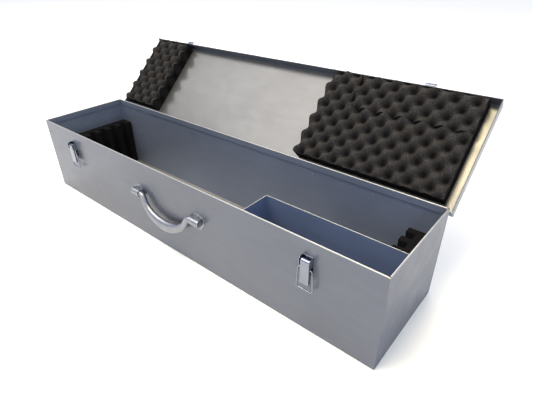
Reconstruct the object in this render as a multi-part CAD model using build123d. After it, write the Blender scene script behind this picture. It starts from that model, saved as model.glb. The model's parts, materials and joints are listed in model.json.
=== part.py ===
from build123d import *
import math
import os

# A long sheet-steel case for art supplies, lying on its floor panel with its lid open.
# Millimetres and degrees. X runs along the case, Y from the front wall to the hinged back, Z up.
# The origin is the centre of the floor panel's underside.

# Case body
LENGTH = 914.4
DEPTH = 211.6
HEIGHT = 180.0
SHEET = 1.0
BEND = 1.5  # radius of a sheet's middle line at a folded edge
HEM = 13.0  # height of the rolled-in hems along the rims
HEM_STEP = 1.9  # from a wall's middle line to its hem's middle line
HEM_BEND = 0.9
HEM_END = 3.3  # a hem stops this far short of a corner
HEM_END_SQUARE = 1.5  # height of the square part of its end, below the rim
HEM_SLANT = 7.0  # how far the rest of its end slopes back
FLANGE = 12.0  # width of the weld flanges
FLANGE_BOTTOM = 3.0
FLANGE_TOP = HEIGHT - HEM - 3.0
SHOULDER = 4.0  # the end walls are full width for this height below the flanges' tops
GAP = 0.3  # free space between pieces that don't touch
CUT = 1.0  # how far a cut runs past the face it starts from

# Compartment at the front right
DIVIDER_TOP = 158.5
DIVIDER_X = 180.3
DIVIDER_Y = -17.5
DIVIDER_BEND = 2.5

# Notched foam blocks on the end walls
COMB_RIB = 14.0
COMB_SLOT_WIDTH = 17.0
COMB_SLOT_DEPTH = 19.0
COMB_PITCH = COMB_RIB + COMB_SLOT_WIDTH
COMB_LEFT_TOP = 122.0
COMB_LEFT_THICKNESS = 37.0
COMB_RIGHT_TOP = 121.0
COMB_RIGHT_THICKNESS = 56.0

# Lid, described closed and then turned open
LID_OPEN = 136.6
LID_SHEET = 0.8
LID_OVERHANG = 2.4
LID_TOP = 195.0
LID_HEIGHT = 23.0
LID_HEM = 10.0
LID_HEM_STEP = 1.0
LID_HEM_BEND = 0.49
LID_HEM_LAP = 3.0  # how far the hem's outer leg runs up inside the lip
LID_HEM_END = 3.0  # the lid's hems stop this far short of a corner
LID_CORNER = 1.6  # outer radius of the lid's bent edges

# Piano hinge along the back
KNUCKLE_PITCH = 30.0
KNUCKLE_COUNT = 30
KNUCKLE_RADIUS = 2.25
KNUCKLE_GAP = 0.3
HINGE_PIN_RADIUS = 1.2
HINGE_RUNNING_FIT = 0.06
HINGE_Y = DEPTH / 2 + LID_OVERHANG + KNUCKLE_RADIUS + GAP
HINGE_Z = 168.0
LEAF = 1.0
LID_LEAF_TOP = 184.0
BODY_LEAF_BOTTOM = 150.0
BODY_LEAF_BEND_Z = 162.5
BODY_LEAF_BEND = 1.5

# Foam pads in the lid
FOAM_HEIGHT = 34.0
FOAM_BACK = 92.5  # the pads reach this far towards the hinge
FOAM_FRONT = -102.5
FOAM_LEFT_X = (-452.0, -333.0)
FOAM_RIGHT_X = (134.0, 440.0)
FOAM_INSET_X = (201.0, 440.0)
FOAM_INSET_Y = -31.0  # seam between the main pad and its inset
FOAM_SEAM = 1.0

# Draw latches on the front wall; "out" is a distance out from the wall
LATCH_X = 333.0
BASE_HALF = 9.5
BASE_OUT = 12.0
BASE_BOTTOM = 121.0
BASE_TOP = 154.0
EAR_BOTTOM = 137.0
BASE_CORNER = 3.0
EAR_CORNER = 5.0
BASE_EDGE = 0.4  # radius of its rounded top edges
LATCH_RIVET_Z = (126.0, 134.5)
PLATE = 1.0  # sheet of the latches, keepers and clips
LEVER_PIVOT_OUT = 6.0
LEVER_PIVOT_Z = 146.5
LEVER_HALF = 8.2
LEVER_BOTTOM = 106.0
LEVER_HOOD = 4.4  # radius of the lever's rounded top
LEVER_FLANGE_OUT = 4.6
LEVER_FOOT = 8.0  # height over which the side flanges taper off at the bottom
LEVER_EDGE = 1.5  # radius of the lever's long outer edges
LEVER_HOLLOW_OVER = 1.5  # how far its hollow runs up past the pivot
LEVER_PIN_RADIUS = 1.5
PIN_HEAD = 0.8  # height of a pin's head, and how far it stands out around the pin
BAIL_WIRE = 1.1
BAIL_PIVOT_OUT = 7.4
BAIL_PIVOT_Z = 134.5
BAIL_BOTTOM = 93.0
BAIL_TOP_HALF = 12.4
BAIL_BOTTOM_HALF = 15.0
BAIL_END_HALF = 6.2
BAIL_TOP_BEND = 2.5
BAIL_BOTTOM_BEND = 4.5
RUNNING_FIT = 0.08

# Hooks on the lid's front lip, described closed
KEEPER_HALF = 10.0
KEEPER_TOP = 190.5
KEEPER_BOTTOM = 173.3
KEEPER_LIP_TOP = 181.0
KEEPER_REACH = 8.0
KEEPER_RIVET_Z = 185.5
KEEPER_RIVET_X = 5.0
KEEPER_LOW_BEND = 2.0
KEEPER_LIP_BEND = 2.8
KEEPER_CORNER = 2.5

# Carrying handle
HANDLE_X = 2.0
HANDLE_OUT = 8.6
HANDLE_Z = 113.0
GRIP_END_RADIUS = 5.5
GRIP_END_X = 98.0  # half of the length between the grip's round ends
GRIP_START_X = 74.0  # where the bow starts
GRIP_LEAN = 7.0  # the bow's angle off plumb, away from the wall
GRIP_DROP = 43.0
GRIP_BOW = ((62.0, 12.0), (39.0, 33.5))  # (across, down) points between the ends and the middle
GRIP_MIDDLE_HIGH = 11.4  # half height of the oval section at the middle
GRIP_MIDDLE_DEEP = 7.4  # and its half depth
GRIP_SECTIONS = 15
CLIP_INNER_X = 76.0
CLIP_OUTER_X = 101.0
CLIP_BORE = GRIP_END_RADIUS + RUNNING_FIT
CLIP_SHELL = 1.6
CLIP_PLATE_TOP = 128.0
CLIP_PLATE_BOTTOM = 93.0
CLIP_OUTLINE = (  # the right-hand clip's plate
    (75.0, 105.0), (75.0, 118.0), (81.0, CLIP_PLATE_TOP), (89.0, CLIP_PLATE_TOP),
    (104.5, 119.5), (104.5, 106.5), (94.0, CLIP_PLATE_BOTTOM), (85.0, CLIP_PLATE_BOTTOM),
)
CLIP_CORNER = 3.0
CLIP_EDGE = 0.5  # radius of the plate's rounded outer edge
CLIP_DOME = 2.5  # radius of the ferrule's outer end
CLIP_RIVET_X = 90.0
CLIP_RIVET_INSET = 5.5

# Rivets: dome head outside, flat tail inside
RIVET_SHANK = 1.5
RIVET_HEAD = 2.6
RIVET_HEAD_HEIGHT = 1.1
RIVET_TAIL = 2.4
RIVET_TAIL_HEIGHT = 0.7
RIVET_DOME = 0.9

FRONT = -DEPTH / 2
BACK = DEPTH / 2
END = LENGTH / 2
LID_HALF_DEPTH = DEPTH / 2 + LID_OVERHANG
LID_HALF_LENGTH = LENGTH / 2 + LID_OVERHANG
LID_BOTTOM = LID_TOP - LID_HEIGHT


def block(x, y, z):
    """A box from three (low, high) pairs."""
    size = [high - low for low, high in (x, y, z)]
    middle = [(high + low) / 2 for low, high in (x, y, z)]
    return Pos(*middle) * Box(*size)


def rod(start, direction, radius, length):
    """A cylinder that starts at a point and runs along a direction."""
    plane = Plane(origin=start, z_dir=direction)
    return extrude(plane * Circle(radius), amount=length)


def folded(points, radii, sheet, along, low, high):
    """A sheet folded along a middle line in the plane normal to X or Z, and drawn out along it."""
    planes = {"x": Plane.YZ, "z": Plane.XY}
    line = FilletPolyline(*points, radius=radii)
    profile = trace(line, line_width=sheet)
    return extrude(planes[along].offset(low) * profile, amount=high - low)


def prism(points, plane, amount):
    """A straight-sided solid drawn out from a closed outline on a plane."""
    return extrude(plane * make_face(Polyline(*points, close=True)), amount=amount)


def rivet_hole(x, z):
    """A hole through the front wall and what is riveted to it."""
    return rod((x, FRONT - PLATE - CUT, z), (0, 1, 0), RIVET_SHANK, PLATE + SHEET + 2 * CUT)


def hem_profile(wall, rim, hem, step):
    """Middle line of a hem that rolls inwards at a rim, from the hem's edge to below the rim."""
    inner = wall - math.copysign(step, wall)
    return [(inner, rim - hem), (inner, rim), (wall, rim)]


def body_wrap():
    """Front wall, floor and back wall folded from one sheet, with a hem along both rims."""
    wall = BACK - SHEET / 2
    rim = HEIGHT - SHEET / 2
    front = hem_profile(-wall, rim, HEM - SHEET / 2, HEM_STEP)
    back = hem_profile(wall, rim, HEM - SHEET / 2, HEM_STEP)
    points = front + [(-wall, SHEET / 2), (wall, SHEET / 2)] + back[::-1]
    radii = [HEM_BEND, HEM_BEND, BEND, BEND, HEM_BEND, HEM_BEND]
    wrap = folded(points, radii, SHEET, "x", -END, END)
    cuts = hem_end_cuts(Plane.XZ, END, BACK)
    wrap -= cuts + mirror(cuts, about=Plane.YZ)
    for side in (-1, 1):
        for z in LATCH_RIVET_Z:
            wrap -= rivet_hole(side * LATCH_X, z)
        for x, z in clip_rivets(side):
            wrap -= rivet_hole(x, z)
    return wrap


def hem_end_cuts(plane, corner, wall):
    """What is cut from two facing hems where they stop short of a corner."""
    stop = corner - HEM_END
    low = HEIGHT - HEM - CUT
    outline = [
        (corner + CUT, low),
        (corner + CUT, HEIGHT + CUT),
        (stop, HEIGHT + CUT),
        (stop, HEIGHT - HEM_END_SQUARE),
        (stop - HEM_SLANT, low),
    ]
    inside = wall - SHEET
    depth = HEM_STEP + SHEET + CUT
    return prism(outline, plane.offset(inside), -depth) + prism(outline, plane.offset(-inside), depth)


def end_panel(side):
    """An end wall with its hem and the weld flanges that lie inside the wrap."""
    wall = END - SHEET / 2
    rim = HEIGHT - SHEET / 2
    half = BACK - HEM_END
    inside = BACK - SHEET
    hem = hem_profile(wall, rim, HEM - SHEET / 2, HEM_STEP)
    section = hem + [(wall, SHEET * 1.5), (wall - FLANGE, SHEET * 1.5)]
    line = FilletPolyline(*section, radius=[HEM_BEND, HEM_BEND, BEND])
    profile = Plane.XZ.offset(-half) * trace(line, line_width=SHEET)
    panel = extrude(profile, amount=2 * half)
    flange = inside - SHEET / 2
    plan = [(wall - FLANGE, -flange), (wall, -flange), (wall, flange), (wall - FLANGE, flange)]
    panel += folded(plan, [BEND, BEND], SHEET, "z", FLANGE_BOTTOM, FLANGE_TOP)
    shoulder = (FLANGE_TOP - SHOULDER, HEIGHT - HEM_END_SQUARE)
    panel += block((END - SHEET, END), (-inside, inside), shoulder)
    cuts = hem_end_cuts(Plane.YZ, BACK, END)
    panel -= cuts + mirror(cuts, about=Plane.XZ)
    if side < 0:
        panel = mirror(panel, about=Plane.YZ)
    return panel


def divider_panel():
    """The folded wall of the compartment, with a weld flange on the front and right walls."""
    front = FRONT + SHEET * 1.5
    right = END - SHEET * 1.5
    plan = [
        (DIVIDER_X + FLANGE, front),
        (DIVIDER_X, front),
        (DIVIDER_X, DIVIDER_Y),
        (right, DIVIDER_Y),
        (right, DIVIDER_Y - FLANGE),
    ]
    panel = folded(plan, [BEND, DIVIDER_BEND, BEND], SHEET, "z", SHEET, DIVIDER_TOP)
    near_end = (DIVIDER_Y - FLANGE - CUT, BACK)
    panel -= block((END - SHEET - FLANGE - CUT, END), near_end, (0, SHEET * 2))
    panel -= block((END - SHEET - BEND, END), near_end, (0, SHEET * 2 + BEND))
    panel -= block((0, END), (FRONT, FRONT + SHEET + BEND), (0, SHEET + BEND))
    return panel


def comb_block(thickness, y, top):
    """A foam block on the right end wall with upright slots, which hold long tools by their ends."""
    low, high = y
    wall = END - SHEET
    face = wall - thickness
    comb = block((face, wall), y, (SHEET * 2, top))
    wall_edges = comb.edges().group_by(Axis.X)[-1]
    comb = fillet(wall_edges.sort_by(Axis.Z)[:-1], 2 * BEND)
    for index in range(int((high - low) // COMB_PITCH)):
        slot_high = high - COMB_RIB - index * COMB_PITCH
        slot = (slot_high - COMB_SLOT_WIDTH, slot_high)
        comb -= block((face, face + COMB_SLOT_DEPTH), slot, (0, top + CUT))
    return comb


def hinge_knuckles(which):
    """The x ranges of every other knuckle: which is 0 for the body's and 1 for the lid's."""
    start = -KNUCKLE_PITCH * KNUCKLE_COUNT / 2
    ranges = []
    for index in range(which, KNUCKLE_COUNT, 2):
        low = start + index * KNUCKLE_PITCH
        ranges.append((low + KNUCKLE_GAP / 2, low + KNUCKLE_PITCH - KNUCKLE_GAP / 2))
    return ranges


def with_knuckles(leaf, which, bore):
    """A leaf cut away for the other leaf's knuckles, with its own rolled round the pin."""
    for low, high in hinge_knuckles(1 - which):
        start = (low - KNUCKLE_GAP, HINGE_Y, HINGE_Z)
        length = high - low + 2 * KNUCKLE_GAP
        leaf -= rod(start, (1, 0, 0), KNUCKLE_RADIUS + GAP, length)
    for low, high in hinge_knuckles(which):
        leaf += rod((low, HINGE_Y, HINGE_Z), (1, 0, 0), KNUCKLE_RADIUS, high - low)
    half = KNUCKLE_PITCH * KNUCKLE_COUNT / 2
    start = (-half - CUT, HINGE_Y, HINGE_Z)
    return leaf - rod(start, (1, 0, 0), bore, 2 * (half + CUT))


def hinge_body_leaf():
    """The leaf welded to the back wall, cranked out to the pin."""
    half = KNUCKLE_PITCH * KNUCKLE_COUNT / 2
    points = [
        (BACK + LEAF / 2, BODY_LEAF_BOTTOM),
        (BACK + LEAF / 2, BODY_LEAF_BEND_Z),
        (HINGE_Y, HINGE_Z - KNUCKLE_RADIUS + LEAF / 2),
    ]
    leaf = folded(points, [BODY_LEAF_BEND], LEAF, "x", -half, half)
    return with_knuckles(leaf, 0, HINGE_PIN_RADIUS)


def hinge_lid_leaf():
    """The leaf welded to the lid's back lip, drawn closed."""
    half = KNUCKLE_PITCH * KNUCKLE_COUNT / 2
    leaf = block((-half, half), (LID_HALF_DEPTH, LID_HALF_DEPTH + LEAF), (HINGE_Z, LID_LEAF_TOP))
    return with_knuckles(leaf, 1, HINGE_PIN_RADIUS + HINGE_RUNNING_FIT)


def hinge_pin():
    half = KNUCKLE_PITCH * KNUCKLE_COUNT / 2
    return rod((-half, HINGE_Y, HINGE_Z), (1, 0, 0), HINGE_PIN_RADIUS, 2 * half)


def lid_shell():
    """The lid's plate and four lips with their hems, drawn closed."""
    lip_start = LID_BOTTOM + 2 * LID_HEM_BEND
    outer = block(
        (-LID_HALF_LENGTH, LID_HALF_LENGTH),
        (-LID_HALF_DEPTH, LID_HALF_DEPTH),
        (lip_start, LID_TOP),
    )
    outer = fillet(outer.edges().filter_by(Axis.Z) + outer.edges().group_by(Axis.Z)[-1], LID_CORNER)
    inner_x = LID_HALF_LENGTH - LID_SHEET
    inner_y = LID_HALF_DEPTH - LID_SHEET
    inner = block((-inner_x, inner_x), (-inner_y, inner_y), (0, LID_TOP - LID_SHEET))
    inner = fillet(
        inner.edges().filter_by(Axis.Z) + inner.edges().group_by(Axis.Z)[-1],
        LID_CORNER - LID_SHEET,
    )
    shell = outer - inner
    rim = LID_BOTTOM + LID_SHEET / 2
    for half, other, plane in (
        (LID_HALF_DEPTH, LID_HALF_LENGTH, Plane.YZ),
        (LID_HALF_LENGTH, LID_HALF_DEPTH, Plane.XZ),
    ):
        wall = half - LID_SHEET / 2
        leaf = wall - LID_HEM_STEP
        points = [(leaf, rim + LID_HEM), (leaf, rim), (wall, rim), (wall, rim + LID_HEM_LAP)]
        line = FilletPolyline(*points, radius=LID_HEM_BEND)
        reach = other - LID_HEM_END
        hem = extrude(plane.offset(-reach) * trace(line, line_width=LID_SHEET), amount=2 * reach)
        shell += hem
        shell += hem.rotate(Axis.Z, 180)
    for side in (-1, 1):
        for x in (-KEEPER_RIVET_X, KEEPER_RIVET_X):
            start = (side * LATCH_X + x, -LID_HALF_DEPTH - CUT, KEEPER_RIVET_Z)
            shell -= rod(start, (0, 1, 0), RIVET_SHANK, LID_SHEET + 2 * CUT)
    return shell


def foam_pad(x_range, near, far):
    """A lid pad drawn closed, from its edge towards the hinge to its far edge."""
    plate = LID_TOP - LID_SHEET
    return block(x_range, (far, near), (plate - FOAM_HEIGHT, plate))


def foam_pad_right_main():
    """The right pad, with its front right part left free for the inset pad."""
    pad = foam_pad(FOAM_RIGHT_X, FOAM_BACK, FOAM_FRONT)
    free = block(
        (FOAM_INSET_X[0] - FOAM_SEAM, END),
        (-BACK, FOAM_INSET_Y + FOAM_SEAM),
        (0, LID_TOP),
    )
    return pad - free


def latch_base(x):
    """A bracket on the front wall with two ears that carry the lever's pin."""
    plate = block(
        (x - BASE_HALF, x + BASE_HALF), (FRONT - PLATE, FRONT), (BASE_BOTTOM, BASE_TOP)
    )
    plate = fillet(plate.edges().filter_by(Axis.Y).group_by(Axis.Z)[0], BASE_CORNER)
    ears = block(
        (x - BASE_HALF, x + BASE_HALF), (FRONT - BASE_OUT, FRONT), (EAR_BOTTOM, BASE_TOP)
    )
    ears = fillet(ears.edges().filter_by(Axis.X).group_by(Axis.Y)[0], EAR_CORNER)
    ears -= block(
        (x - BASE_HALF + PLATE, x + BASE_HALF - PLATE),
        (FRONT - BASE_OUT - CUT, FRONT - PLATE),
        (EAR_BOTTOM - CUT, BASE_TOP + CUT),
    )
    base = plate + ears
    base = fillet(base.faces().sort_by(Axis.Z)[-1].edges(), BASE_EDGE)
    pin_start = (x - BASE_HALF - CUT, FRONT - LEVER_PIVOT_OUT, LEVER_PIVOT_Z)
    base -= rod(pin_start, (1, 0, 0), LEVER_PIN_RADIUS, 2 * (BASE_HALF + CUT))
    for z in LATCH_RIVET_Z:
        base -= rivet_hole(x, z)
    return base


def latch_lever(x):
    """The channel-shaped lever with a rounded top and two side flanges."""
    pivot = (FRONT - LEVER_PIVOT_OUT, LEVER_PIVOT_Z)
    face = FRONT - LEVER_PIVOT_OUT - LEVER_HOOD
    inner = LEVER_HOOD - PLATE
    width = 2 * LEVER_HALF
    low = Plane.YZ.offset(x - LEVER_HALF)
    flange_edge = FRONT - LEVER_FLANGE_OUT
    body = extrude(low * Pos(*pivot) * Circle(LEVER_HOOD), amount=width)
    body += block((x - LEVER_HALF, x + LEVER_HALF), (face, flange_edge), (LEVER_BOTTOM, pivot[1]))
    body = fillet(body.edges().filter_by(Axis.Z).group_by(Axis.Y)[0], LEVER_EDGE)
    hollow = extrude(low.offset(PLATE) * Pos(*pivot) * Circle(inner), amount=width - 2 * PLATE)
    hollow += block(
        (x - LEVER_HALF + PLATE, x + LEVER_HALF - PLATE),
        (face + PLATE, FRONT),
        (LEVER_BOTTOM - CUT, pivot[1] + LEVER_HOLLOW_OVER),
    )
    body -= hollow
    start = x - LEVER_HALF - CUT
    past = width + 2 * CUT
    foot = [
        (face + PLATE, LEVER_BOTTOM - CUT),
        (FRONT, LEVER_BOTTOM - CUT),
        (FRONT, LEVER_BOTTOM + LEVER_FOOT),
    ]
    body -= prism(foot, Plane.YZ.offset(start), past)
    body -= rod((start, *pivot), (1, 0, 0), LEVER_PIN_RADIUS + RUNNING_FIT, past)
    bail_start = (start, FRONT - BAIL_PIVOT_OUT, BAIL_PIVOT_Z)
    body -= rod(bail_start, (1, 0, 0), BAIL_WIRE + RUNNING_FIT, past)
    return body


def latch_pin(x):
    """The lever's pivot pin, with a flat head outside each ear."""
    at = (FRONT - LEVER_PIVOT_OUT, LEVER_PIVOT_Z)
    pin = rod((x - BASE_HALF, *at), (1, 0, 0), LEVER_PIN_RADIUS, 2 * BASE_HALF)
    for side in (-1, 1):
        start = (x + side * BASE_HALF, *at)
        pin += rod(start, (side, 0, 0), LEVER_PIN_RADIUS + PIN_HEAD, PIN_HEAD)
    return pin


def latch_bail(x):
    """The wire loop that hooks over the keeper, hanging from the lever's sides."""
    y = FRONT - BAIL_PIVOT_OUT
    right = [
        (BAIL_END_HALF, BAIL_PIVOT_Z),
        (BAIL_TOP_HALF, BAIL_PIVOT_Z),
        (BAIL_BOTTOM_HALF, BAIL_BOTTOM),
    ]
    left = [(-px, pz) for px, pz in right]
    points = [(x + px, y, pz) for px, pz in right + left[::-1]]
    bends = [BAIL_TOP_BEND, BAIL_BOTTOM_BEND, BAIL_BOTTOM_BEND, BAIL_TOP_BEND]
    path = FilletPolyline(*points, radius=bends)
    section = Plane(origin=path @ 0, z_dir=path % 0) * Circle(BAIL_WIRE)
    return sweep(section, path=path)


def rivet(x, y, z, through):
    """A rivet through a stack of sheets, with its dome head towards the front."""
    head = rod((x, y, z), (0, -1, 0), RIVET_HEAD, RIVET_HEAD_HEIGHT)
    head = fillet(head.edges().group_by(Axis.Y)[0], RIVET_DOME)
    shank = rod((x, y, z), (0, 1, 0), RIVET_SHANK, through)
    tail = rod((x, y + through, z), (0, 1, 0), RIVET_TAIL, RIVET_TAIL_HEIGHT)
    return head + shank + tail


def keeper(x):
    """The hook on the lid's front lip that the bail pulls on, drawn closed."""
    plate = -LID_HALF_DEPTH - PLATE / 2
    leg = plate - KEEPER_REACH + PLATE / 2
    bottom = KEEPER_BOTTOM + PLATE / 2
    points = [(plate, KEEPER_TOP), (plate, bottom), (leg, bottom), (leg, KEEPER_LIP_TOP)]
    bends = [KEEPER_LOW_BEND, KEEPER_LIP_BEND]
    hook = folded(points, bends, PLATE, "x", x - KEEPER_HALF, x + KEEPER_HALF)
    hook = fillet(hook.edges().filter_by(Axis.Y).group_by(Axis.Z)[-1], KEEPER_CORNER)
    for offset in (-KEEPER_RIVET_X, KEEPER_RIVET_X):
        start = (x + offset, plate - PLATE - CUT, KEEPER_RIVET_Z)
        hook -= rod(start, (0, 1, 0), RIVET_SHANK, 2 * (PLATE + CUT))
    return hook


def grip_frame():
    """The plane that the grip lies in: local x along the case, local y down along the lean."""
    lean = math.radians(GRIP_LEAN)
    down = Vector(0, -math.sin(lean), -math.cos(lean))
    origin = (HANDLE_X, FRONT - HANDLE_OUT, HANDLE_Z)
    return Plane(origin=origin, x_dir=(1, 0, 0), z_dir=Vector(1, 0, 0).cross(down))


def handle_grip():
    """A bowed grip that swells towards its middle, with round ends that turn in the clips."""
    frame = grip_frame()
    half_bow = [(-GRIP_START_X, 0.0)] + [(-across, down) for across, down in GRIP_BOW]
    other_half = [(-across, down) for across, down in half_bow[::-1]]
    points = half_bow + [(0.0, GRIP_DROP)] + other_half
    path = frame * Spline(*points, tangents=[(1, 0), (1, 0)])
    sections = []
    for index in range(GRIP_SECTIONS):
        share = index / (GRIP_SECTIONS - 1)
        swell = math.sin(math.pi * share) ** 2
        high = GRIP_END_RADIUS + (GRIP_MIDDLE_HIGH - GRIP_END_RADIUS) * swell
        deep = GRIP_END_RADIUS + (GRIP_MIDDLE_DEEP - GRIP_END_RADIUS) * swell
        at = Plane(origin=path @ share, x_dir=frame.z_dir, z_dir=path % share)
        sections.append(at * Ellipse(deep, high))
    grip = loft(sections)
    for side in (-1, 1):
        start = (HANDLE_X + side * GRIP_START_X, FRONT - HANDLE_OUT, HANDLE_Z)
        grip += rod(start, (side, 0, 0), GRIP_END_RADIUS, GRIP_END_X - GRIP_START_X)
    return grip


def clip_rivets(side):
    """The (x, z) places of a clip's rivets, above and below its ferrule."""
    x = HANDLE_X + side * CLIP_RIVET_X
    return [(x, CLIP_PLATE_TOP - CLIP_RIVET_INSET), (x, CLIP_PLATE_BOTTOM + CLIP_RIVET_INSET)]


def handle_clip(side):
    """A stamped clip: a rounded plate on the wall with a half-round ferrule over the grip's end."""
    face = make_face(Polyline(*CLIP_OUTLINE, close=True))
    face = fillet(face.vertices(), CLIP_CORNER)
    plate = extrude(Plane.XZ.offset(-FRONT) * face, amount=PLATE)
    plate = fillet(plate.edges().group_by(Axis.Y)[0], CLIP_EDGE)
    outer = CLIP_BORE + CLIP_SHELL
    start = (CLIP_INNER_X, FRONT - HANDLE_OUT, HANDLE_Z)
    shell = rod(start, (1, 0, 0), outer, CLIP_OUTER_X - CLIP_INNER_X)
    shell = fillet(shell.edges().group_by(Axis.X)[-1], CLIP_DOME)
    shell += block(
        (CLIP_INNER_X, CLIP_OUTER_X - CLIP_DOME), (FRONT - HANDLE_OUT, FRONT),
        (HANDLE_Z - outer, HANDLE_Z + outer),
    )
    clip = plate + shell
    start = (CLIP_INNER_X - CUT, FRONT - HANDLE_OUT, HANDLE_Z)
    clip -= rod(start, (1, 0, 0), CLIP_BORE, GRIP_END_X + GAP - CLIP_INNER_X + CUT)
    for z in (CLIP_PLATE_TOP - CLIP_RIVET_INSET, CLIP_PLATE_BOTTOM + CLIP_RIVET_INSET):
        clip -= rivet_hole(CLIP_RIVET_X, z)
    clip -= block((0, 2 * CLIP_OUTER_X), (FRONT, 0), (0, HEIGHT))
    if side < 0:
        clip = mirror(clip, about=Plane.YZ)
    return Pos(HANDLE_X, 0, 0) * clip


def opened(solid):
    """A lid piece turned from closed to open about the hinge pin."""
    axis = Axis((0, HINGE_Y, HINGE_Z), (1, 0, 0))
    return solid.rotate(axis, -LID_OPEN)


def body_parts():
    comb_y = BACK - SHEET * 2 - GAP
    left_comb = comb_block(COMB_LEFT_THICKNESS, (-comb_y, comb_y), COMB_LEFT_TOP)
    right_comb_y = (DIVIDER_Y + SHEET / 2 + GAP, comb_y)
    return {
        "body_wrap": body_wrap(),
        "end_panel_left": end_panel(-1),
        "end_panel_right": end_panel(1),
        "divider_panel": divider_panel(),
        "hinge_body_leaf": hinge_body_leaf(),
        "hinge_pin": hinge_pin(),
        "comb_block_left": mirror(left_comb, about=Plane.YZ),
        "comb_block_right": comb_block(COMB_RIGHT_THICKNESS, right_comb_y, COMB_RIGHT_TOP),
    }


def lid_parts():
    parts = {
        "lid_shell": lid_shell(),
        "hinge_lid_leaf": hinge_lid_leaf(),
        "foam_pad_left": foam_pad(FOAM_LEFT_X, FOAM_BACK, FOAM_FRONT),
        "foam_pad_right_main": foam_pad_right_main(),
        "foam_pad_right_inset": foam_pad(FOAM_INSET_X, FOAM_INSET_Y, FOAM_FRONT),
    }
    for name, side in (("left", -1), ("right", 1)):
        x = side * LATCH_X
        parts["keeper_" + name] = keeper(x)
        for index, offset in enumerate((-KEEPER_RIVET_X, KEEPER_RIVET_X), start=1):
            parts[f"keeper_{name}_rivet_{index}"] = rivet(
                x + offset, -LID_HALF_DEPTH - PLATE, KEEPER_RIVET_Z, PLATE + LID_SHEET
            )
    return {name: opened(solid) for name, solid in parts.items()}


def latch_parts():
    parts = {}
    for name, side in (("left", -1), ("right", 1)):
        x = side * LATCH_X
        parts[f"latch_{name}_base"] = latch_base(x)
        parts[f"latch_{name}_lever"] = latch_lever(x)
        parts[f"latch_{name}_pin"] = latch_pin(x)
        parts[f"latch_{name}_bail"] = latch_bail(x)
        for index, z in enumerate(LATCH_RIVET_Z, start=1):
            parts[f"latch_{name}_rivet_{index}"] = rivet(x, FRONT - PLATE, z, PLATE + SHEET)
    return parts


def handle_parts():
    parts = {"handle_grip": handle_grip()}
    for name, side in (("left", -1), ("right", 1)):
        parts["handle_clip_" + name] = handle_clip(side)
        for index, (x, z) in enumerate(clip_rivets(side), start=1):
            parts[f"handle_{name}_rivet_{index}"] = rivet(x, FRONT - PLATE, z, PLATE + SHEET)
    return parts


os.makedirs("parts", exist_ok=True)
for group in (body_parts(), lid_parts(), latch_parts(), handle_parts()):
    for node, solid in group.items():
        export_step(solid, f"parts/{node}.step")
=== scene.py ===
import json
import math

import bmesh
import bpy
from mathutils import Matrix, Vector, noise


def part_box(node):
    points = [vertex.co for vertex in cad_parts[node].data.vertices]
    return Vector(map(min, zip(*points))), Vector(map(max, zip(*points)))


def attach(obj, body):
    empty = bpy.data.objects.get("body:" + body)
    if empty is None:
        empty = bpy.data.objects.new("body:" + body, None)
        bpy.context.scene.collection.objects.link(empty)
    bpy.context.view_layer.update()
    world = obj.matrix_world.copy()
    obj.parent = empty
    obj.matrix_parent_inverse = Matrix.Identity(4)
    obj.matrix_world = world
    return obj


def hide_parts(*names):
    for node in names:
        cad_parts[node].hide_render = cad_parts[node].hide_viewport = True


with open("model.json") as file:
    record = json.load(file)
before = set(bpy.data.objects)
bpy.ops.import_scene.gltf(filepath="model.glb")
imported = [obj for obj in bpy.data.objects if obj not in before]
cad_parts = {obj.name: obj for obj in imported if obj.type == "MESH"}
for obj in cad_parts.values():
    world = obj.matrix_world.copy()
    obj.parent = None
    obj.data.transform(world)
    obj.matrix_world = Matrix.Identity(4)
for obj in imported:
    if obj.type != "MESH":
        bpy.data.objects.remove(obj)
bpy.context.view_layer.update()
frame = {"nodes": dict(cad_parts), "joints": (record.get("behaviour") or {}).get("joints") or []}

# A long sheet-steel art supply case with its lid open. Metres, in the CAD frame.

MM = 0.001

# Camera
CAMERA_AT = (0.59244, -0.50520, 0.53618)
CAMERA_TURN = (58.720, 0.668, 39.827)  # degrees
CAMERA_LENS = 28.01
SENSOR = 36.0
CLIP_START = 0.01

# Sky and floor
HORIZON = (0.42, 0.51, 0.66)
ZENITH = (0.97, 0.95, 0.93)
HORIZON_UP_TO = 0.15  # sine of the elevation where the horizon's colour starts to change
ZENITH_FROM = 0.95  # and where the zenith's colour is reached
SKY_STRENGTH = 1.2
FLOOR_REACH = 14.0
FLOOR_TONES = ((0.91, 0.905, 0.895), (0.92, 0.915, 0.905))

# The middle of the case's wall sheet: faces nearer than this are inside
CASE_HALF_X = 456.7 * MM
CASE_HALF_Y = 105.3 * MM
CASE_FLOOR = 3.0 * MM  # the inner floor is below this
RIM_HIGHLIGHT_DEPTH = 1.2 * MM  # a painted highlight runs this far down from a rim
# colour of the painted highlight along the rims
RIM_HIGHLIGHT_COLOUR = (0.37, 0.365, 0.355)
PAINT_METALLIC = 0.55
NEARLY_FACING = 0.95  # cosine: a face turned less than 18 degrees from a way counts as facing it

# Other surfaces
SMEAR_SHADE = 0.86  # of the plate's colour, in a smear
MATTE_SPECULAR = 0.1
FOAM_WARM = (1.12, 1.02, 0.92)  # the tint of the foam's warmer patches
FOAM_PLAIN = 0.9  # and the shade of the others
PORE_DEPTH = 0.6  # of a pore's size

# Comb blocks: upright slots, set out from the back end of each block
COMB_RIB = 14 * MM
COMB_SLOT_WIDTH = 17 * MM
COMB_SLOT_DEPTH = 19 * MM
COMB_VOXEL = 1.6 * MM
COMB_INSET = 0.4 * MM  # the block is drawn in by this, so that its uneven faces stay in the CAD block
COMB_UNEVEN = 0.35 * MM
COMB_WAVES = 60  # scale of the noise that makes the faces uneven
COMB_SHARP = 35  # degrees: sharper edges than this aren't smoothed
COMB_ROUNDING = 0.1 * MM  # rounding that is let pass when the last slot is fitted in

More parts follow.
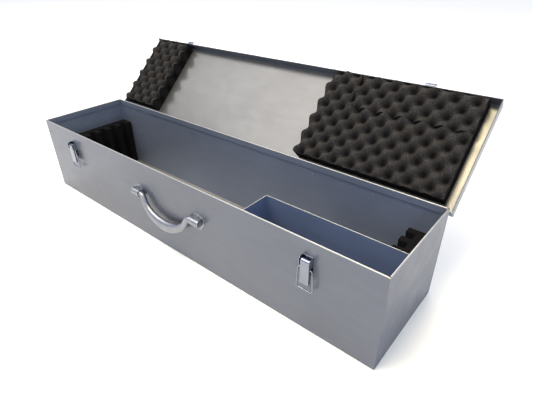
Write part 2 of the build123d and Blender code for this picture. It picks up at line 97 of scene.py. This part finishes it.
# Egg-crate foam
FOAM_PITCH_X = 37.4 * MM
FOAM_PITCH_Y = 37.9 * MM
FOAM_CELL = 1.7 * MM  # grid step of the foam's mesh
FOAM_SADDLE = 26.0 * MM  # height over the lid's plate where a peak turns into a pit
FOAM_RISE = 8.0 * MM  # from there up to a peak
FOAM_DROP = 8.5 * MM  # and down to the bottom of a pit
FOAM_PEAK_POWER = 0.9  # under 1 broadens the peaks
FOAM_PIT_POWER = 1.15  # over 1 narrows the pits
FOAM_SHIFT_X = 1.2 * MM  # how far peaks stray from their grid
FOAM_SHIFT_Y = 0.8 * MM
FOAM_UNEVEN = 0.9 * MM  # how far the surface strays from its even waves
FOAM_SHARP = 50  # degrees: sharper edges than this aren't smoothed
NOTCH_GAP = 1.0 * MM  # between the main pad's notch and the pad set into it
NOTCH_ROUNDING = 1e-6

# Scales of the noise in the foam's shape, and how its place differs from pad to pad
SHIFT_WAVES = 30
SHIFT_APART = 900
UNEVEN_WAVES = 22
UNEVEN_FROM = 7.0
UNEVEN_APART = 500

# Painted shade on the egg-crate foam, deep in its pits and on its cut sides
PAINTED_PIT_SHADE = "painted_pit_shade"  # attribute of painted shade: 0 deep in a pit, where the foam is painted black, to 1 where it keeps its own grey
PIT_SHADE_RISE = 13.0 * MM  # from the bottom of a pit to where the painted shade ends
PIT_SHADE = 0.15
SIDE_LIGHT_SHARE = 0.35  # painted shade on the cut sides: they keep only this share of the attribute

# The spot welds that show as small, slightly raised marks inside the back wall
WELD_PITCH = 65.6 * MM
WELD_COUNT = 13
WELD_RADIUS = 1.7 * MM
WELD_HEIGHT = 156 * MM  # over the underside
WELD_STRAY = 4 * MM  # how far a mark strays along the row
WELD_WAVE = 1.7  # step through the noise from one mark to the next
WELD_FLATNESS = 0.22  # a mark's depth as a share of its width
WELD_SEGMENTS = 16
WELD_RINGS = 8
WALL_SHEET = 1.0 * MM  # thickness of the wall


def joint_named(name):
    return next(joint for joint in frame["joints"] if joint["name"] == name)


LID_HINGE = joint_named("lid_hinge")
LID_PIVOT = Vector(LID_HINGE["pos_m"])
LID_OPEN = math.radians(LID_HINGE["range_deg"][1])
OPENING = (
    Matrix.Translation(LID_PIVOT)
    @ Matrix.Rotation(-LID_OPEN, 4, "X")
    @ Matrix.Translation(-LID_PIVOT)
)
CLOSING = OPENING.inverted()
LID_INWARD = OPENING.to_3x3() @ Vector((0.0, 0.0, -1.0))  # out of the plate's inner face, at rest


# Camera, light and floor


def add_camera():
    data = bpy.data.cameras.new("camera")
    data.lens = CAMERA_LENS
    data.sensor_width = SENSOR
    data.sensor_fit = "HORIZONTAL"
    data.clip_start = CLIP_START
    camera = bpy.data.objects.new("camera", data)
    camera.location = CAMERA_AT
    camera.rotation_euler = [math.radians(angle) for angle in CAMERA_TURN]
    bpy.context.scene.collection.objects.link(camera)
    bpy.context.scene.camera = camera


def add_area(name, at, aim, size, power, colour):
    """A rectangular light at one point, turned to another. Its power is in watts."""
    data = bpy.data.lights.new(name, "AREA")
    data.shape = "RECTANGLE"
    data.size, data.size_y = size
    data.energy = power
    data.color = colour
    light = bpy.data.objects.new(name, data)
    light.location = at
    light.rotation_euler = (Vector(aim) - Vector(at)).to_track_quat("-Z", "Y").to_euler()
    bpy.context.scene.collection.objects.link(light)


def add_world():
    """A soft studio sky: cool near the horizon and warmer and brighter overhead."""
    world = bpy.data.worlds.new("studio")
    world.use_nodes = True
    tree = world.node_tree
    coords = tree.nodes.new("ShaderNodeTexCoord")
    split = tree.nodes.new("ShaderNodeSeparateXYZ")
    tree.links.new(coords.outputs["Generated"], split.inputs["Vector"])
    ramp = tree.nodes.new("ShaderNodeValToRGB")
    ramp.color_ramp.elements[0].position = HORIZON_UP_TO
    ramp.color_ramp.elements[0].color = (*HORIZON, 1.0)
    ramp.color_ramp.elements[1].position = ZENITH_FROM
    ramp.color_ramp.elements[1].color = (*ZENITH, 1.0)
    tree.links.new(split.outputs["Z"], ramp.inputs["Fac"])
    background = tree.nodes["Background"]
    tree.links.new(ramp.outputs["Color"], background.inputs["Color"])
    background.inputs["Strength"].default_value = SKY_STRENGTH
    bpy.context.scene.world = world


def add_lights():
    """A small warm key overhead, a large soft light from the upper left, weaker ones in front and behind,
    and a cool fill from the right."""
    add_world()
    add_area("overhead_key", (0.15, -0.5, 2.1), (0.45, 0.2, 0.3), (0.6, 0.6), 24.0, (1.0, 0.84, 0.50))
    add_area("overhead_soft", (-1.9, -1.5, 3.7), (-0.1, 0.2, 0.2), (3.6, 2.6), 122.0, (1.0, 0.96, 0.91))
    add_area("front_soft", (0.4, -2.4, 1.5), (0.0, 0.0, 0.1), (1.6, 0.9), 6.0, (1.0, 0.96, 0.92))
    add_area("back_soft", (-0.7, 2.7, 1.9), (0.0, 0.0, 0.1), (2.4, 1.2), 50.0, (1.0, 0.97, 0.92))
    add_area("cool_fill", (2.4, -0.9, 1.3), (0.0, 0.0, 0.1), (1.6, 1.2), 7.0, (0.30, 0.60, 1.0))
    bpy.context.scene.view_settings.view_transform = "Standard"


def add_floor(material):
    mesh = bpy.data.meshes.new("floor")
    ways = ((-1, -1), (1, -1), (1, 1), (-1, 1))
    corners = [(x * FLOOR_REACH, y * FLOOR_REACH, 0) for x, y in ways]
    mesh.from_pydata(corners, [], [(0, 1, 2, 3)])
    mesh.materials.append(material)
    floor = bpy.data.objects.new("floor", mesh)
    bpy.context.scene.collection.objects.link(floor)


# Materials


def shaded(colour, share):
    """A colour with each of its channels times a share."""
    return tuple(channel * share for channel in colour)


class Paintbox:
    """A new material with its principled shader, and short ways to add the nodes it needs."""

    def __init__(self, name):
        self.material = bpy.data.materials.new(name)
        self.material.use_nodes = True
        self.tree = self.material.node_tree
        self.shader = self.tree.nodes["Principled BSDF"]
        place = self.tree.nodes.new("ShaderNodeTexCoord")
        self.coords = place.outputs["Object"]
        self.normals = place.outputs["Normal"]

    def set(self, **values):
        for name, value in values.items():
            socket = self.shader.inputs[name.replace("_", " ")]
            socket.default_value = (*value, 1.0) if isinstance(value, tuple) else value

    def link(self, output, name):
        self.tree.links.new(output, self.shader.inputs[name])

    def noise(self, scale, detail=2.0, rough=0.5, stretch=None):
        node = self.tree.nodes.new("ShaderNodeTexNoise")
        node.inputs["Scale"].default_value = scale
        node.inputs["Detail"].default_value = detail
        node.inputs["Roughness"].default_value = rough
        source = self.coords
        if stretch:
            mapping = self.tree.nodes.new("ShaderNodeMapping")
            mapping.inputs["Scale"].default_value = stretch
            self.tree.links.new(source, mapping.inputs["Vector"])
            source = mapping.outputs["Vector"]
        self.tree.links.new(source, node.inputs["Vector"])
        return node.outputs["Fac"]

    def attribute(self, name):
        node = self.tree.nodes.new("ShaderNodeAttribute")
        node.attribute_name = name
        return node.outputs["Fac"]

    def math(self, operation, first, second=None):
        node = self.tree.nodes.new("ShaderNodeMath")
        node.operation = operation
        for socket, value in zip(node.inputs, (first, second)):
            if isinstance(value, float):
                socket.default_value = value
            elif value is not None:
                self.tree.links.new(value, socket)
        return node.outputs["Value"]

    def times(self, first, second):
        return self.math("MULTIPLY", first, second)

    def facing(self, way):
        """1 where the surface faces this way, down to -1 where it faces away."""
        node = self.tree.nodes.new("ShaderNodeVectorMath")
        node.operation = "DOT_PRODUCT"
        self.tree.links.new(self.normals, node.inputs[0])
        node.inputs[1].default_value = way
        return node.outputs["Value"]

    def axis(self, name):
        """The X, Y or Z of a point."""
        split = self.tree.nodes.new("ShaderNodeSeparateXYZ")
        self.tree.links.new(self.coords, split.inputs["Vector"])
        return split.outputs[name]

    def within(self, half_x, half_y):
        """1 where a point is nearer than these to the middle planes, otherwise 0."""
        shares = [
            self.math("LESS_THAN", self.math("ABSOLUTE", self.axis(name)), half)
            for name, half in (("X", half_x), ("Y", half_y))
        ]
        return self.times(*shares)

    def scaled(self, colour, share):
        """A colour times a varying number."""
        node = self.tree.nodes.new("ShaderNodeVectorMath")
        node.operation = "SCALE"
        if isinstance(colour, tuple):
            node.inputs[0].default_value = colour
        else:
            self.tree.links.new(colour, node.inputs[0])
        self.tree.links.new(share, node.inputs["Scale"])
        return node.outputs["Vector"]

    def ramp(self, value, low, high, start=0.3, end=0.7):
        """low where the value is start or less, rising to high where it is end or more."""
        node = self.tree.nodes.new("ShaderNodeMapRange")
        node.inputs["From Min"].default_value = start
        node.inputs["From Max"].default_value = end
        node.inputs["To Min"].default_value = low
        node.inputs["To Max"].default_value = high
        self.tree.links.new(value, node.inputs["Value"])
        return node.outputs["Result"]

    def mix(self, share, first, second):
        node = self.tree.nodes.new("ShaderNodeMix")
        node.data_type = "RGBA"
        self.tree.links.new(share, node.inputs["Factor"])
        for socket, colour in (("A", first), ("B", second)):
            slot = next(i for i in node.inputs if i.name == socket and i.type == "RGBA")
            if isinstance(colour, tuple):
                slot.default_value = (*colour, 1.0)
            else:
                self.tree.links.new(colour, slot)
        return next(o for o in node.outputs if o.type == "RGBA")

    def bump(self, height, distance, strength=1.0, under=None):
        node = self.tree.nodes.new("ShaderNodeBump")
        node.inputs["Distance"].default_value = distance
        node.inputs["Strength"].default_value = strength
        self.tree.links.new(height, node.inputs["Height"])
        if under is not None:
            self.tree.links.new(under, node.inputs["Normal"])
        return node.outputs["Normal"]


def case_colours(box, outside, wall, floor, rim):
    """The case's paint, with painted light: paler, bluer tones on its inner walls, a paler, warmer one on
    its inner floor, and a painted highlight above the height rim.
    """
    inside = box.within(CASE_HALF_X, CASE_HALF_Y)
    low = box.math("LESS_THAN", box.axis("Z"), CASE_FLOOR)
    walls = box.mix(inside, outside, wall)
    with_floor = box.mix(box.times(inside, low), walls, floor)
    return box.mix(box.math("GREATER_THAN", box.axis("Z"), rim), with_floor, RIM_HIGHLIGHT_COLOUR)


def lid_colours(box, outside, inward_painted_light):
    """The lid's paint, with painted light: faces turned like the plate's inner face take their own, warmer
    tone.
    """
    plate = box.math("GREATER_THAN", box.facing(LID_INWARD), NEARLY_FACING)
    return box.mix(plate, outside, inward_painted_light)


def steel_paint(name, colours, *tones):
    """Semi-gloss silver-grey paint with a fine orange peel, slow tone changes and light rubbing.

    colours is the function that places the tones on the sheet."""
    box = Paintbox(name)
    base = colours(box, *tones)
    tone = box.ramp(box.noise(5.0, detail=3.0), low=0.93, high=1.05, start=0.35, end=0.65)
    rubbed = box.ramp(box.noise(70.0, stretch=(0.3, 1.0, 1.5)), low=0.98, high=1.04)
    box.link(box.scaled(base, box.times(tone, rubbed)), "Base Color")
    box.link(box.ramp(box.noise(34.0, detail=3.0), low=0.285, high=0.345), "Roughness")
    peel = box.bump(box.noise(260.0, detail=0.0), distance=0.01 * MM)
    waves = box.bump(box.noise(9.0, detail=1.0), distance=1.0 * MM, strength=0.3, under=peel)
    box.link(waves, "Normal")
    box.set(Metallic=PAINT_METALLIC)
    return box.material


def plated_metal(name, colour, smoothest, roughest):
    """Nickel plate with faint smears and hairline marks."""
    box = Paintbox(name)
    box.set(Metallic=1.0)
    clean = box.ramp(box.noise(90.0, detail=4.0, rough=0.6), low=0.0, high=1.0)
    box.link(box.mix(clean, shaded(colour, SMEAR_SHADE), colour), "Base Color")
    box.link(box.ramp(box.noise(160.0, detail=3.0, rough=0.6), smoothest, roughest), "Roughness")
    hairs = box.noise(1400.0, stretch=(1.0, 0.2, 0.05))
    box.link(box.bump(hairs, distance=0.01 * MM), "Normal")
    return box.material


def foam(name, light, dark, grain, painted_shade):
    """Open-cell foam: a fine pitted surface with slightly paler raised cells.

    With painted shade, the foam takes the pit shade attribute and is painted black where that is low: deep
    in its pits, and more on its cut sides."""
    box = Paintbox(name)
    cells = box.noise(1.0 / grain, rough=0.7)
    patches = box.ramp(box.noise(45.0, detail=3.0), low=0.0, high=1.0)
    warm = tuple(channel * tint for channel, tint in zip(light, FOAM_WARM))
    worn = box.mix(patches, shaded(light, FOAM_PLAIN), warm)
    colour = box.mix(box.ramp(cells, low=0.0, high=1.0, start=0.42, end=0.58), dark, worn)
    if painted_shade:
        # painted shade: the cut sides are painted darker than the top
        top = box.ramp(box.facing(LID_INWARD), low=SIDE_LIGHT_SHARE, high=1.0, start=0.2, end=0.5)
        share = box.times(box.attribute(PAINTED_PIT_SHADE), top)
        colour = box.mix(share, shaded(dark, PIT_SHADE), colour)
    box.link(colour, "Base Color")
    box.set(Roughness=1.0, Specular_IOR_Level=MATTE_SPECULAR)
    box.link(box.bump(cells, distance=grain * PORE_DEPTH), "Normal")
    return box.material


def floor_white():
    box = Paintbox("floor_white")
    box.link(box.mix(box.noise(3.0), *FLOOR_TONES), "Base Color")
    box.set(Roughness=0.9, Specular_IOR_Level=MATTE_SPECULAR)
    return box.material


def cad_top(name):
    """The height of a CAD node's top."""
    return max(corner[2] for corner in frame["nodes"][name].bound_box)


def give(material, *nodes):
    """A CAD node's material slots all take this material."""
    for name in nodes:
        for slot in frame["nodes"][name].material_slots:
            slot.material = material


# Pieces


def new_piece(name, mesh, material, body):
    """An object that rides a body and takes this material."""
    mesh.materials.append(material)
    piece = bpy.data.objects.new(name, mesh)
    bpy.context.scene.collection.objects.link(piece)
    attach(piece, body)
    return piece


def closed_box(node):
    """(lowest, highest) corner of a lid node with the lid turned shut."""
    points = [CLOSING @ vertex.co for vertex in frame["nodes"][node].data.vertices]
    low = Vector([min(point[axis] for point in points) for axis in range(3)])
    high = Vector([max(point[axis] for point in points) for axis in range(3)])
    return low, high


def foam_height(x, y, peak, skew):
    """Height of the egg-crate surface over the plate. A peak stands at the (x, y) point peak."""
    wobble = noise.noise(Vector((x * SHIFT_WAVES, y * SHIFT_WAVES, peak[0] * SHIFT_APART)))
    from_peak_x = x - peak[0] + wobble * FOAM_SHIFT_X
    from_peak_y = y - peak[1] - skew * (x - peak[0]) + wobble * FOAM_SHIFT_Y
    along = 2 * math.pi * from_peak_x / FOAM_PITCH_X
    across = 2 * math.pi * from_peak_y / FOAM_PITCH_Y
    wave = math.cos(along) * math.cos(across)
    if wave > 0:
        wave = FOAM_RISE * wave**FOAM_PEAK_POWER
    else:
        wave = -FOAM_DROP * abs(wave) ** FOAM_PIT_POWER
    place = Vector((x * UNEVEN_WAVES, y * UNEVEN_WAVES, UNEVEN_FROM + peak[1] * UNEVEN_APART))
    return FOAM_SADDLE + wave + noise.noise(place) * FOAM_UNEVEN


def steps(low, high, size):
    """Evenly spaced numbers from low to high, about size apart."""
    count = max(1, round((high - low) / size))
    return [low + (high - low) * index / count for index in range(count + 1)]


def smooth_below(mesh, degrees):
    """Smooth shading, apart from edges sharper than this."""
    mesh.shade_smooth()
    mesh.set_sharp_from_angle(angle=math.radians(degrees))


def egg_crate_pad(name, node, peak, skew, material, notch=None):
    """A lid pad: a flat-backed slab with an egg-crate face, built with the lid shut and then opened.

    notch is the (x, y) corner past which another pad takes this one's place."""
    low, high = closed_box(node)
    if notch:
        columns = steps(low.x, notch[0], FOAM_CELL) + steps(notch[0], high.x, FOAM_CELL)[1:]
        rows = steps(low.y, notch[1], FOAM_CELL) + steps(notch[1], high.y, FOAM_CELL)[1:]
    else:
        columns = steps(low.x, high.x, FOAM_CELL)
        rows = steps(low.y, high.y, FOAM_CELL)
    shell = bmesh.new()
    painted_pit_shade = shell.verts.layers.float.new(PAINTED_PIT_SHADE)
    face_points = {}
    for i, x in enumerate(columns):
        for j, y in enumerate(rows):
            if notch and x > notch[0] + NOTCH_ROUNDING and y < notch[1] - NOTCH_ROUNDING:
                continue
            height = foam_height(x, y, peak, skew)
            point = shell.verts.new((x, y, high.z - height))
            # painted shade: the foam's colour darkens towards the bottom of each pit
            point[painted_pit_shade] = min(1.0, max(0.0, (height - FOAM_SADDLE + FOAM_DROP) / PIT_SHADE_RISE))
            face_points[i, j] = point
    cells = [
        (i, j)
        for i in range(len(columns) - 1)
        for j in range(len(rows) - 1)
        if all((i + a, j + b) in face_points for a in (0, 1) for b in (0, 1))
    ]
    for i, j in cells:
        ring = [face_points[i, j], face_points[i, j + 1], face_points[i + 1, j + 1], face_points[i + 1, j]]
        shell.faces.new(ring)
    edge = [e for e in shell.edges if e.is_boundary]
    walls = bmesh.ops.extrude_edge_only(shell, edges=edge)["geom"]
    for vert in (g for g in walls if isinstance(g, bmesh.types.BMVert)):
        vert.co.z = high.z
    rim = [e for e in walls if isinstance(e, bmesh.types.BMEdge) and e.is_boundary]
    bmesh.ops.contextual_create(shell, geom=rim)
    bmesh.ops.recalc_face_normals(shell, faces=shell.faces)
    bmesh.ops.transform(shell, matrix=OPENING, verts=shell.verts)
    mesh = bpy.data.meshes.new(name)
    shell.to_mesh(mesh)
    shell.free()
    smooth_below(mesh, FOAM_SHARP)
    pad = new_piece(name, mesh, material, "lid")
    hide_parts(node)


def apply_modifiers(piece):
    """The piece's mesh becomes what its modifiers make of it."""
    graph = bpy.context.evaluated_depsgraph_get()
    made = bpy.data.meshes.new_from_object(piece.evaluated_get(graph))
    spent = piece.data
    piece.modifiers.clear()
    piece.data = made
    bpy.data.meshes.remove(spent)


def comb_block(name, node, material, facing):
    """A foam block with upright slots in the side that faces into the case, with slightly uneven faces.

    facing is 1 on the left wall, where that side is at high x, and -1 on the right wall."""
    low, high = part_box(node)
    wall, face = (low.x, high.x) if facing > 0 else (high.x, low.x)
    floor = face - facing * COMB_SLOT_DEPTH
    outline = [(wall, low.y), (wall, high.y), (face, high.y)]
    slot_high = high.y - COMB_RIB
    while slot_high - COMB_SLOT_WIDTH - COMB_RIB > low.y - COMB_ROUNDING:
        slot_low = slot_high - COMB_SLOT_WIDTH
        outline += [(face, slot_high), (floor, slot_high), (floor, slot_low), (face, slot_low)]
        slot_high = slot_low - COMB_RIB
    outline.append((face, low.y))
    shell = bmesh.new()
    base = shell.faces.new([shell.verts.new((x, y, low.z)) for x, y in outline])
    raised = bmesh.ops.extrude_face_region(shell, geom=[base])["geom"]
    for vert in (g for g in raised if isinstance(g, bmesh.types.BMVert)):
        vert.co.z = high.z
    bmesh.ops.recalc_face_normals(shell, faces=shell.faces)
    mesh = bpy.data.meshes.new(name)
    shell.to_mesh(mesh)
    shell.free()
    piece = new_piece(name, mesh, material, "case")
    remesh = piece.modifiers.new("even", "REMESH")
    remesh.mode = "VOXEL"
    remesh.voxel_size = COMB_VOXEL
    apply_modifiers(piece)
    middle = (low + high) / 2
    scale = Vector([1 - 2 * COMB_INSET / (high[axis] - low[axis]) for axis in range(3)])
    normals = [vert.normal.copy() for vert in piece.data.vertices]
    for vert, normal in zip(piece.data.vertices, normals):
        offset = vert.co - middle
        shift = noise.noise(vert.co * COMB_WAVES) * COMB_UNEVEN
        vert.co = middle + offset * scale + normal * shift
    smooth_below(piece.data, COMB_SHARP)
    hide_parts(node)


def weld_marks(material):
    """The row of spot welds inside the back wall: flattened domes, centred on the wall's inner face."""
    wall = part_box("body_wrap")[1].y - WALL_SHEET
    shell = bmesh.new()
    for index in range(WELD_COUNT):
        x = (index - (WELD_COUNT - 1) / 2) * WELD_PITCH
        stray = noise.noise(Vector((index * WELD_WAVE, 0, 0))) * WELD_STRAY
        at = Vector((x + stray, wall, WELD_HEIGHT))
        dome = bmesh.ops.create_uvsphere(
            shell, u_segments=WELD_SEGMENTS, v_segments=WELD_RINGS, radius=WELD_RADIUS
        )
        for vert in dome["verts"]:
            vert.co = at + Vector((vert.co.x, vert.co.y * WELD_FLATNESS, vert.co.z))
    mesh = bpy.data.meshes.new("weld_marks")
    shell.to_mesh(mesh)
    shell.free()
    mesh.shade_smooth()
    new_piece("weld_marks", mesh, material, "case")


# The scene


add_camera()
add_lights()
add_floor(floor_white())

# painted highlights along the top edges of the case and the divider start at these heights
case_highlight_from = cad_top("end_panel_left") - RIM_HIGHLIGHT_DEPTH
divider_highlight_from = cad_top("divider_panel") - RIM_HIGHLIGHT_DEPTH
outside_tone = (0.128, 0.139, 0.172)
# painted shade: the right end wall's outside is darker and bluer than the rest of the case
right_end_painted_shade = (0.060, 0.075, 0.121)
# painted light: the inner walls are paler and bluer than the outside, and the inner floor paler and warmer
inner_wall_painted_light = (0.215, 0.248, 0.330)
inner_floor_painted_light = (0.31, 0.302, 0.288)
# painted shade: the divider is painted a strong blue, standing in for the bluish shade and reflections on it
divider_painted_blue_shade = (0.20, 0.262, 0.43)
# painted light: the plate's inner face is warmer and less blue than the outside
plate_painted_light = (0.137, 0.137, 0.140)
hinge_tone = (0.145, 0.157, 0.19)
hinge_inner_tone = (0.15, 0.16, 0.19)
body_paint = steel_paint("silver_grey_paint", case_colours, outside_tone, inner_wall_painted_light, inner_floor_painted_light, case_highlight_from)
# the right end wall's paint, with its painted shade
shaded_end_paint = steel_paint("end_wall_shaded_paint", case_colours, right_end_painted_shade, inner_wall_painted_light, inner_wall_painted_light, case_highlight_from)
shaded_divider_paint = steel_paint(
    "shaded_divider_paint", case_colours, divider_painted_blue_shade, divider_painted_blue_shade, divider_painted_blue_shade, divider_highlight_from
)
lid_paint = steel_paint("lid_paint", lid_colours, outside_tone, plate_painted_light)
hinge_paint = steel_paint("hinge_paint", lid_colours, hinge_tone, hinge_inner_tone)
bright_nickel = plated_metal("bright_nickel", (0.26, 0.28, 0.34), smoothest=0.10, roughest=0.17)
satin_nickel = plated_metal("satin_nickel", (0.30, 0.312, 0.35), smoothest=0.36, roughest=0.46)
lid_foam = foam(
    "charcoal_foam", light=(0.061, 0.058, 0.057), dark=(0.014, 0.014, 0.017), grain=1.3 * MM, painted_shade=True
)
comb_foam = foam(
    "black_foam", light=(0.0095, 0.0092, 0.0105), dark=(0.003, 0.003, 0.0037), grain=0.8 * MM, painted_shade=False
)

give(body_paint, "body_wrap", "end_panel_left")
give(shaded_divider_paint, "divider_panel")
give(shaded_end_paint, "end_panel_right")
give(lid_paint, "lid_shell")
give(hinge_paint, "hinge_body_leaf", "hinge_lid_leaf", "hinge_pin")
give(satin_nickel, "handle_grip")
for side in ("left", "right"):
    give(satin_nickel, f"handle_clip_{side}")
    give(bright_nickel, f"keeper_{side}")
    give(bright_nickel, *[f"latch_{side}_{part}" for part in ("base", "lever", "pin", "bail")])
    for number in (1, 2):
        give(satin_nickel, f"handle_{side}_rivet_{number}")
        give(bright_nickel, f"latch_{side}_rivet_{number}", f"keeper_{side}_rivet_{number}")

inset_low, inset_high = closed_box("foam_pad_right_inset")
egg_crate_pad("foam_left", "foam_pad_left", peak=(-0.336, 0.0062), skew=-0.02, material=lid_foam)
egg_crate_pad(
    "foam_right_main",
    "foam_pad_right_main",
    peak=(0.1305, 0.0115),
    skew=-0.03,
    material=lid_foam,
    notch=(inset_low.x - NOTCH_GAP, inset_high.y + NOTCH_GAP),
)
egg_crate_pad(
    "foam_right_inset", "foam_pad_right_inset", peak=(0.237, -0.107), skew=-0.015, material=lid_foam
)
comb_block("comb_left", "comb_block_left", comb_foam, facing=1)
comb_block("comb_right", "comb_block_right", comb_foam, facing=-1)
weld_marks(body_paint)
